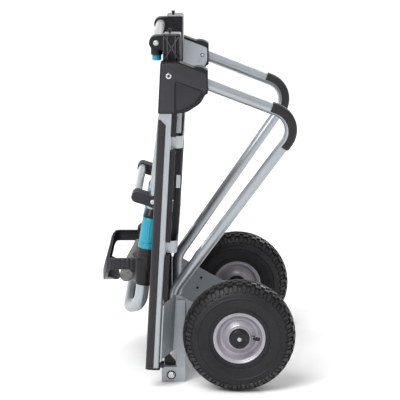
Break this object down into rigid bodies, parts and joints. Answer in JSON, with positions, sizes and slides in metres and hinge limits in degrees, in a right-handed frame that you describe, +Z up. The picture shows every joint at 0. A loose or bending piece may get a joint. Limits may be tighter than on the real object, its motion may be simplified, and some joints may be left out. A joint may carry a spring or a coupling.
{
  "type": "folding platform cart",
  "caption": "Folding hand truck and platform cart with pneumatic wheels, folding toe plate, rear skid loops and a telescopic fold-over handle.",
  "frame": {"origin": "middle of the footprint on the floor, with the cart folded and standing upright", "axes": "+Z up, +X towards the user's side where the wheels are, -Y is the cart's left side"},
  "size_m": [0.455, 0.5864, 0.829],
  "materials": {
    "tyre": "matte, knobbly tread",
    "tube_rubber": "matte",
    "rim": "smooth satin",
    "bright_steel": "polished",
    "frame_silver": "brushed, clear anodised",
    "bracket_grey": "satin",
    "black_plastic": "fine moulded grain",
    "skid_rubber": "matte",
    "label": "matte",
    "toe_black": "fine moulded grain",
    "teal_plastic": "semi-gloss",
    "grip_soft": "soft matte",
    "white_bolt": "satin"
  },
  "bodies": {
    "frame": {"rail_left": "frame_silver", "rail_right": "frame_silver", "glide_strips": "black_plastic", "rail_caps": "black_plastic", "rear_strips": "black_plastic", "cross_members": "frame_silver", "back_panel": "black_plastic", "rating_plate": "label", "top_plates": "frame_silver", "top_cover_left": "black_plastic", "top_cover_right": "black_plastic", "tube_clamps": "black_plastic", "clamp_bolts": "bright_steel", "cover_screws": "black_plastic", "loop_tube_left": "frame_silver", "loop_tube_right": "frame_silver", "skid_pad_left": "skid_rubber", "skid_pad_right": "skid_rubber", "wheel_bracket_left": "bracket_grey", "wheel_bracket_right": "bracket_grey", "foot_channels": "frame_silver", "foot_blocks": "black_plastic", "foot_bolts": "bright_steel", "axle": "bright_steel", "axle_spacers": "frame_silver", "axle_caps": "black_plastic", "hinge_cheek_left": "black_plastic", "hinge_cheek_right": "black_plastic", "hinge_pins": "bright_steel"},
    "wheel_left": {"tyre_left": "tyre", "inner_tube_left": "tube_rubber", "rim_left": "rim", "wheel_bearings_left": "bright_steel"},
    "wheel_right": {"tyre_right": "tyre", "inner_tube_right": "tube_rubber", "rim_right": "rim", "wheel_bearings_right": "bright_steel"},
    "handle_frame": {"hinge_block_left": "black_plastic", "hinge_block_right": "black_plastic", "hinge_straps": "frame_silver", "boss_bolts": "bright_steel", "upper_crossbar": "bright_steel", "lower_crossbar": "bright_steel", "crossbar_arm_left": "black_plastic", "crossbar_arm_right": "black_plastic", "arm_bolts": "white_bolt", "leg_tube_left": "frame_silver", "leg_tube_right": "frame_silver"},
    "grip_handle": {"grip_tube": "frame_silver", "ferrules": "black_plastic", "grip_sleeve_left": "black_plastic", "grip_sleeve_right": "black_plastic", "grip_mounts": "black_plastic", "knuckle_guard": "black_plastic", "grip_bar": "grip_soft"},
    "collar_left": {"twist_collar_left": "teal_plastic"},
    "button_left": {"release_button_left": "teal_plastic"},
    "collar_right": {"twist_collar_right": "teal_plastic"},
    "button_right": {"release_button_right": "teal_plastic"},
    "toe_plate": {"toe_plate": "toe_black"}
  },
  "joints": [
    {"name": "wheel_left_spin", "type": "hinge", "parent": "frame", "child": "wheel_left", "pos_m": [0.0975, -0.25, 0.13], "axis": [0, 1, 0], "continuous": true},
    {"name": "wheel_right_spin", "type": "hinge", "parent": "frame", "child": "wheel_right", "pos_m": [0.0975, 0.25, 0.13], "axis": [0, 1, 0], "continuous": true},
    {"name": "handle_fold", "type": "hinge", "parent": "frame", "child": "handle_frame", "pos_m": [-0.0575, 0, 0.788], "axis": [0, 1, 0], "range_deg": [0, 176]},
    {"name": "toe_fold", "type": "hinge", "parent": "frame", "child": "toe_plate", "pos_m": [-0.06, 0, 0.017], "axis": [0, -1, 0], "range_deg": [0, 90]},
    {"name": "grip_slide", "type": "slide", "parent": "handle_frame", "child": "grip_handle", "axis": [-0.1219, 0, -0.9925], "range_m": [0, 0.1]},
    {"name": "collar_left_twist", "type": "hinge", "parent": "grip_handle", "child": "collar_left", "pos_m": [-0.11051, -0.186, 0.35624], "axis": [-0.1219, 0, -0.9925], "range_deg": [0, 60]},
    {"name": "button_left_press", "type": "slide", "parent": "handle_frame", "child": "button_left", "axis": [0, 0, 1], "range_m": [0, 0.005], "stiffness_N_per_m": 300, "springref_m": -0.004},
    {"name": "collar_right_twist", "type": "hinge", "parent": "grip_handle", "child": "collar_right", "pos_m": [-0.11051, 0.186, 0.35624], "axis": [-0.1219, 0, -0.9925], "range_deg": [0, 60]},
    {"name": "button_right_press", "type": "slide", "parent": "handle_frame", "child": "button_right", "axis": [0, 0, 1], "range_m": [0, 0.005], "stiffness_N_per_m": 300, "springref_m": -0.004}
  ],
  "couplings": [
    {"joint": "toe_fold", "follows": "handle_fold", "ratio": 0.511}
  ]
}
